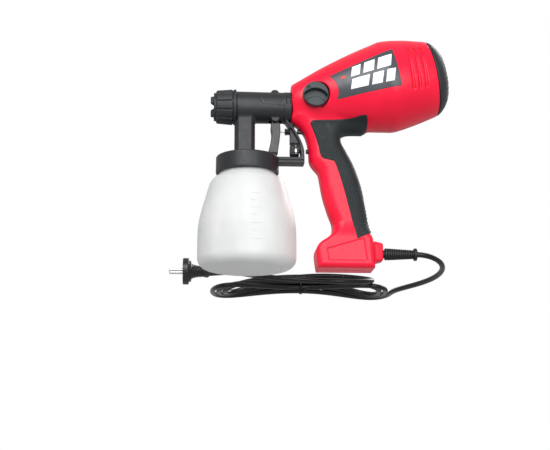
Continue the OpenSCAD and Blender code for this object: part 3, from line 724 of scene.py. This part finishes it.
LOOKS = {
    "red_plastic": finish("red_plastic", (0.84, 0.002, 0.034), (0.3, 0.4), 0.5, 0.05, 0.05, 0.12, gloss=0.36),
    "grip_rubber": finish("grip_rubber", (0.012, 0.017, 0.019), (0.5, 0.65), 0.25, 0.12, 0.15, 0.12,
                          gloss=0.35),
    "decal_film": finish("decal_film", (0.045, 0.052, 0.062), (0.3, 0.4), 0.3, 0.03, 0.05, 0.05),
    "decal_white": finish("decal_white", (0.86, 0.86, 0.86), (0.35, 0.45), 0.3, 0.02, 0.02, 0.0),
    "decal_red": finish("decal_red", (0.72, 0.01, 0.02), (0.35, 0.45), 0.3, 0.02, 0.02, 0.0),
    "black_plastic": finish("black_plastic", (0.015, 0.0165, 0.0195), (0.36, 0.5), 0.28, 0.16, 0.12, 0.3,
                            gloss=0.42),
    "trigger_plastic": finish("trigger_plastic", (0.055, 0.057, 0.062), (0.4, 0.55), 0.3, 0.14, 0.1, 0.25),
    "cap_plastic": finish("cap_plastic", (0.015, 0.018, 0.021), (0.42, 0.56), 0.3, 0.16, 0.1, 0.25,
                          gloss=0.4),
    "dial_plastic": finish("dial_plastic", (0.028, 0.037, 0.042), (0.36, 0.5), 0.25, 0.1, 0.12, 0.3,
                           gloss=0.4),
    "filter_foam": finish("filter_foam", (0.03, 0.03, 0.03), (0.9, 1.0), 1.2, 0.9, 0.2, 0.3),
    "motor_steel": finish("motor_steel", (0.48, 0.48, 0.5), (0.25, 0.4), 0.3, 0.08, 0.05, 0.1, 1.0,
                          stretch=(1, 8, 8)),
    "bearing_steel": finish("bearing_steel", (0.66, 0.66, 0.68), (0.16, 0.3), 0.2, 0.05, 0.03, 0.1, 1.0),
    "fan_aluminium": finish("fan_aluminium", (0.68, 0.69, 0.7), (0.28, 0.42), 0.3, 0.1, 0.04, 0.1, 1.0),
    "grey_plastic": finish("grey_plastic", (0.08, 0.083, 0.09), (0.4, 0.55), 0.3, 0.12, 0.1, 0.2),
    "seal_rubber": finish("seal_rubber", (0.011, 0.0115, 0.0125), (0.42, 0.56), 0.3, 0.08, 0.1, 0.15,
                          gloss=0.4),
    "board_green": finish("board_green", (0.012, 0.13, 0.05), (0.3, 0.45), 0.4, 0.05, 0.1, 0.1),
    "screw_steel": finish("screw_steel", (0.6, 0.6, 0.62), (0.22, 0.36), 0.2, 0.08, 0.05, 0.15, 1.0),
    "cord_rubber": finish("cord_rubber", (0.006, 0.0065, 0.008), (0.22, 0.34), 0.6, 0.03, 0.1, 0.0,
                          gloss=0.4),
    "plug_plastic": finish("plug_plastic", (0.012, 0.0125, 0.015), (0.25, 0.38), 0.35, 0.07, 0.1, 0.2),
    "pin_chrome": finish("pin_chrome", (0.78, 0.78, 0.8), (0.1, 0.2), 0.2, 0.03, 0.03, 0.05, 1.0),
    "needle_steel": finish("needle_steel", (0.7, 0.71, 0.73), (0.15, 0.25), 0.2, 0.05, 0.03, 0.05, 1.0),
    "packing_white": finish("packing_white", (0.82, 0.82, 0.8), (0.5, 0.6), 0.3, 0.05, 0.03, 0.05),
    "gasket": finish("gasket", (0.7, 0.7, 0.67), (0.6, 0.75), 0.3, 0.1, 0.05, 0.05),
    "container_plastic": translucent("container_plastic"),
}


def place(obj, look, body, *nodes, record_slot=None):
    """Gives a piece its material, its body, and the CAD nodes that it stands for."""
    obj.data.materials.clear()
    obj.data.materials.append(LOOKS[look])
    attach(obj, body)
    if nodes:
        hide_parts(*nodes)
    return obj


# ---------------------------------------------------------------- small parts
def flow_knob(name):
    """Ribbed knob with a plain rear band; the metal ring sits in the neck between them."""
    profile = rounded([(0, 0), (0, 7.4), (1.1, 8.4), (5.4, 8.5), (6.3, 7.9), (6.3, 6.5), (8.7, 6.5),
                       (8.7, 7.6),
                       (9.3, 8.2), (11.2, 8.2), (11.7, 7.6), (11.7, 2.5), (18.9, 2.5), (18.9, 0)], 0.4)

    def shape(angle, along, r):
        return r - 0.45 * (1 + math.cos(24 * angle)) / 2 if r > 8.0 else r
    return lathe(name, profile, (55.5, 0, KNOB_Z), (1, 0, 0), 192, False, shape)


def bellows(name):
    ridges = [(0, 1.5), (0, 4.2)]
    for i in range(4):
        ridges += [(0.3 + i * 1.9, 4.7), (1.1 + i * 1.9, 4.7), (1.3 + i * 1.9, 3.4), (1.8 + i * 1.9, 3.4)]
    profile = rounded(ridges + [(7.6, 3.4), (7.6, 1.5)], 0.3)
    return lathe(name, profile, (48.9, 0, BUTTON_Z), (1, 0, 0), 64, True)


def boot(name):
    """Cord's strain relief: a tapering sleeve cut by staggered slots, with an end flange."""
    profile = [(-12, CORD_R + 0.05), (-12, 5.4), (0.1, 5.4), (0.2, 7.7), (2.4, 7.7)]
    for i in range(12):
        x, r = 3.0 + i * 2.9, 7.7 - 0.17 * i
        profile += [(x, r - 1.1), (x + 0.7, r - 1.1), (x + 0.9, r), (x + 2.7, r - 0.1)]
    profile += [(37.9, 5.6), (38.1, 8.0), (41.2, 8.2), (41.9, 7.4), (41.9, CORD_R + 0.05)]

    def shape(angle, along, r):
        bridge = abs(math.cos(2 * angle))
        in_slot = 2.9 < along < 37.7 and r < 7.2 - 0.058 * along
        return r + 1.0 * max(0.0, bridge - 0.86) / 0.14 if in_slot else r
    return lathe(name, rounded(profile, 0.35), (177.4, 0, CORD_Z), (1, 0, 0), 96, True, shape)


def plug(name):
    """Two-pin plug: a round disc face, waisted grip with a bump behind, and a slotted tail."""
    px, py, pz = PLUG

    def distance(x, y, z):
        along, h, w = x - px, z - pz, y - py
        r = np.hypot(w, h)
        disc = rounded_slab(r - 18.3, np.abs(along - 4.2) - 4.2, 1.4)
        step_in = rounded_slab(r - 14.5, np.abs(along - 9) - 2.5, 1.0)
        width = np.interp(along, [6, 12, 20, 28, 34, 37], [13.5, 12.2, 9.4, 9.0, 10.4, 7.5])
        height = np.interp(along, [6, 12, 20, 28, 34, 37], [11.5, 10.2, 8.2, 7.8, 8.6, 6.5])
        grip_body = (np.sqrt((w / width) ** 2 + (h / height) ** 2) - 1) * np.minimum(width, height) * 0.9
        grip_body = rounded_slab(grip_body, np.abs(along - 21.5) - 15.5, 1.5)
        groove = np.abs((along % 3.4) - 1.7) - 0.5 + 5 * (along < 14) + 5 * (along > 30)
        grip_body = smooth_max(grip_body, -np.maximum(groove, -grip_body - 0.7), 0.4)
        d = smooth_min(smooth_min(disc, step_in, 1.5), grip_body, 2.5)
        tail_r = 6.4 - 0.085 * (along - 36)
        tail = rounded_slab(r - tail_r, np.abs(along - 46) - 10.5, 0.8)
        slots = np.maximum(np.abs(((along - 38) % 3.6) - 1.8) - 0.55, 4.4 - r)
        slots = np.maximum(slots, 2.0 - np.abs(w)) + 5 * (along < 38.5) + 5 * (along > 55)
        tail = smooth_max(tail, -slots, 0.4)
        d = smooth_min(d, tail, 1.2)
        d = np.maximum(d, -np.maximum(r - CORD_R - 0.05, 42 - along))
        pins = np.hypot(np.abs(w) - 9.5, h)
        return np.maximum(d, -np.maximum(pins - 2.45, along - 5))
    return solid(name, distance, (px, py - 19, pz - 19), (px + 57, py + 19, pz + 19), 0.6)


def plug_pins():
    profile = rounded([(-19, 0), (-19, 1.5), (-18, 2.4), (0, 2.4), (5, 2.4), (5, 0)], 0.6)
    return [lathe(f"plug_pin_{k}", profile, (PLUG[0], PLUG[1] + s * 9.5, PLUG[2]), (1, 0, 0), 48)
            for k, s in (("a", -1), ("b", 1))]


def wire_tie(name):
    """Thin plastic-covered wire: twice round the bundle's waist, then twisted, ends left loose."""
    path = []
    for i in range(97):
        a = 2 * math.pi * 2 * i / 96
        path.append((BUNDLE_X - 1.2 + 2.4 * i / 96, BUNDLE_Y - 8.3 * math.sin(a), 13.2 - 12.1 * math.cos(a)))
    for i in range(1, 30):
        t = i / 29
        path.append((BUNDLE_X + 1.2 + 9 * t * t, BUNDLE_Y - 14 * t - 3 * t * t,
                     1.1 + 6.5 * t + 1.2 * math.sin(9 * t)))
    return tube(name, path, 0.85, 10)


def rear_cover(name):
    """Domed intake cover: louvres in the middle, a fine ring, and a skirt inside the shells."""
    def distance(x, y, z):
        t, rho = motor_axis(x, y, z)
        rho = rho - top_bulge(x, z, t, rho)
        reach = np.minimum(rho, 50)
        dome = t - (SHELL_END + 20.5 - 18.5 * (reach / 49) ** 4)
        outer = smooth_max(np.maximum(dome * 0.8, SHELL_END + 0.25 - t), rho - 48.2, 2.5)
        hollow = np.maximum(t - (SHELL_END + 17.5 - 17.5 * (reach / 46.5) ** 4), rho - 45)
        d = smooth_max(outer, -hollow * 0.8, 0.8)
        skirt = np.maximum(np.abs(rho - 44.9) - 1.1, np.maximum(SHELL_END - 7 - t, t - SHELL_END - 3))
        d = smooth_min(d, skirt, 0.8)
        louvre = np.abs((above_axis(x, z) + 100) % 6.2 - 3.1) - 1.35
        louvre = np.maximum(np.maximum(louvre, rho - 32), 1.1 - np.abs(y))
        d = smooth_max(d, -np.maximum(louvre, SHELL_END + 3 - t), 0.7)
        ring = np.maximum(np.abs(rho - 36.5) - 0.6, -(dome + 0.9))
        return smooth_max(d, -ring, 0.5)
    return solid(name, distance, (226, -49, 200), (265, 49, 310), 0.9)


def spring(name):
    turns, path = 9, []
    for i in range(turns * 20 + 1):
        a = 2 * math.pi * i / 20
        path.append((26.6 + 22.8 * i / (turns * 20), 4.4 * math.cos(a), BARREL_Z + 4.4 * math.sin(a)))
    return tube(name, path, 0.55, 8)


# ---------------------------------------------------------------- decal
# Corners of the label on the flank: front top, rear top, rear bottom, front bottom
LABEL = [np.array(p, float) for p in ((104.2, 254.6), (185.3, 283.4), (195.9, 231), (116.2, 220.1))]


def label_point(s, t):
    """s runs to the rear, t upwards, both from 0 to 1."""
    low = LABEL[3] + (LABEL[2] - LABEL[3]) * s
    high = LABEL[0] + (LABEL[1] - LABEL[0]) * s
    return low + (high - low) * t


def label_outline():
    gap = 28.5
    front = [(DIAL[0] + gap * math.cos(a), DIAL[1] + gap * math.sin(a))
             for a in np.radians(range(-18, 56, 6))]
    return [tuple(label_point(1, 0))] + front + [tuple(label_point(1, 1))]


def bar(s0, s1, t0, t1, lean=0.035):
    corners = [(s0 - lean, t0), (s1 - lean, t0), (s1 + lean, t1), (s0 + lean, t1)]
    return [tuple(label_point(*c)) for c in corners]


WHITE_BARS = [bar(0.30, 0.44, 0.54, 0.86), bar(0.49, 0.66, 0.54, 0.86), bar(0.71, 0.93, 0.54, 0.86),
              bar(0.24, 0.52, 0.14, 0.46), bar(0.57, 0.74, 0.14, 0.46), bar(0.79, 0.93, 0.14, 0.46)]
RED_BAR = bar(0.12, 0.20, 0.56, 0.66, 0.01)


def labels():
    for side, tag in ((-1, "left"), (1, "right")):
        film = inlay(f"{tag}_label", label_outline(), side, 1.4, 0.16, 0.6)
        place(film, "decal_film", "housing", f"{tag}_decal")
        for i, shape in enumerate(WHITE_BARS):
            place(inlay(f"{tag}_label_bar_{i}", shape, side, 1.2, 0.24, 0.5), "decal_white", "housing",
                  record_slot="decal_film")
        place(inlay(f"{tag}_label_mark", RED_BAR, side, 1.2, 0.24, 0.4), "decal_red", "housing",
              record_slot="decal_film")


# ---------------------------------------------------------------- the assembly
def build():
    for tag, side in (("left", -1), ("right", 1)):
        place(half_shell(f"{tag}_housing", side), "red_plastic", "housing", f"{tag}_shell")
        place(grip(f"{tag}_rubber", side), "grip_rubber", "housing", f"{tag}_grip")
    labels()
    place(rear_cover("intake_cover"), "cap_plastic", "rear_cover", "rear_cover")
    place(dial("dial_knob"), "dial_plastic", "speed_dial", "speed_dial")
    place(head("head_moulding"), "black_plastic", "spray_head", "head_body")
    place(trigger_blade("trigger_blade"), "trigger_plastic", "trigger", "trigger")
    place(flow_knob("flow_knob_ribbed"), "black_plastic", "flow_knob", "flow_knob")
    place(bellows("rod_bellows"), "seal_rubber", "spray_head", "rod_boot")
    place(cap_nut("nut_ribbed"), "cap_plastic", "cap_nut", "cap_nut")
    place(air_cap("air_cap_horned"), "cap_plastic", "air_cap", "air_cap")
    place(spring("needle_coil"), "needle_steel", "spray_head", "needle_spring")
    place(container("paint_container"), "container_plastic", "container", "container")
    place(container_marks("container_ticks"), "container_plastic", "container",
          record_slot="container_plastic")
    place(boot("cord_boot"), "seal_rubber", "housing", "strain_relief")
    place(tube("mains_cord", cord_path(), CORD_R), "cord_rubber", "housing", "power_cord")
    place(wire_tie("cord_wire_tie"), "cord_rubber", "housing", "cord_tie")
    place(plug("plug_moulding"), "plug_plastic", "housing", "plug_body")
    pins = plug_pins()
    place(pins[0], "pin_chrome", "housing", "plug_pins")
    place(pins[1], "pin_chrome", "housing", record_slot="pin_chrome")


def finish_cad_nodes():
    """Gives each CAD node that still shows its own material."""
    slots = {p["node"]: p["material_slot"] for p in frame["record"]["subparts"]}
    for name, obj in frame["nodes"].items():
        obj.data.materials.clear()
        obj.data.materials.append(LOOKS[slots[name]])


# ---------------------------------------------------------------- stage
WORLD_LIGHT = 0.5
LENS, SENSOR = 74.2, 36
VIEW_AZIMUTH, VIEW_RISE, VIEW_DISTANCE = math.radians(3.4), math.radians(12.5), 1.46
FLOOR_HALF, FLOOR_DROP = 6.0, 0.0002


def area_light(name, at, towards, size, power, colour=(1, 1, 1)):
    light = bpy.data.lights.new(name, "AREA")
    light.shape, light.size, light.energy, light.color = "DISK", size, power, colour
    obj = bpy.data.objects.new(name, light)
    bpy.context.collection.objects.link(obj)
    obj.location = at
    obj.rotation_euler = (Vector(towards) - Vector(at)).to_track_quat("-Z", "Y").to_euler()


def stage():
    cam = bpy.data.cameras.new("camera")
    cam.lens, cam.sensor_width = LENS, SENSOR
    obj = bpy.data.objects.new("camera", cam)
    bpy.context.collection.objects.link(obj)
    # Looks slightly up at the gun's left side, from a little ahead of its middle
    azimuth, rise = VIEW_AZIMUTH, VIEW_RISE
    target = Vector((0.0361, 0, 0.0584))
    forward = Vector((math.sin(azimuth) * math.cos(rise), math.cos(azimuth) * math.cos(rise), math.sin(rise)))
    obj.location = target - forward * VIEW_DISTANCE
    obj.rotation_euler = forward.to_track_quat("-Z", "Y").to_euler()
    bpy.context.scene.camera = obj
    studio_world()
    area_light("key", (-0.5, -1.5, 1.1), (0.1, 0, 0.2), 1.3, 25)
    area_light("front", (0.6, -1.9, 0.3), (0.1, 0, 0.2), 1.4, 19)
    area_light("rear", (0.9, 1.0, 0.9), (0.08, 0, 0.16), 0.8, 9)
    floor_sheet()


def studio_world():
    """White to the camera, and a softer grey as light on the object."""
    world = bpy.data.worlds.new("world")
    bpy.context.scene.world = world
    world.use_nodes = True
    tree = world.node_tree
    background = tree.nodes["Background"]
    path = tree.nodes.new("ShaderNodeLightPath")
    strength = tree.nodes.new("ShaderNodeMapRange")
    for key, number in (("From Min", 0), ("From Max", 1), ("To Min", WORLD_LIGHT), ("To Max", 1.0)):
        strength.inputs[key].default_value = number
    tree.links.new(path.outputs["Is Camera Ray"], strength.inputs["Value"])
    tree.links.new(strength.outputs["Result"], background.inputs["Strength"])
    background.inputs["Color"].default_value = (1, 1, 1, 1)


def floor_sheet():
    """Pale floor, seen from above only and left out of the object's own light."""
    mesh = bpy.data.meshes.new("floor")
    corners = [(FLOOR_HALF * i, FLOOR_HALF * j, 0) for i, j in ((-1, -1), (1, -1), (1, 1), (-1, 1))]
    mesh.from_pydata(corners, [], [(0, 1, 2, 3)])
    floor = bpy.data.objects.new("floor", mesh)
    bpy.context.collection.objects.link(floor)
    floor.location.z = -FLOOR_DROP
    m, link, node, shader = nodes_of("floor_white")
    shader.inputs["Base Color"].default_value = (0.86, 0.86, 0.86, 1)
    shader.inputs["Roughness"].default_value = 0.8
    clear = node("ShaderNodeBsdfTransparent")
    back = node("ShaderNodeNewGeometry")
    mix = node("ShaderNodeMixShader")
    link(back.outputs["Backfacing"], mix.inputs[0])
    link(shader.outputs["BSDF"], mix.inputs[1])
    link(clear.outputs["BSDF"], mix.inputs[2])
    link(mix.outputs["Shader"], m.node_tree.nodes["Material Output"].inputs["Surface"])
    floor.data.materials.append(m)
    floor.visible_diffuse = floor.visible_glossy = floor.visible_transmission = floor.visible_shadow = False


build()
finish_cad_nodes()
stage()
bpy.context.scene.view_settings.view_transform = "Standard"
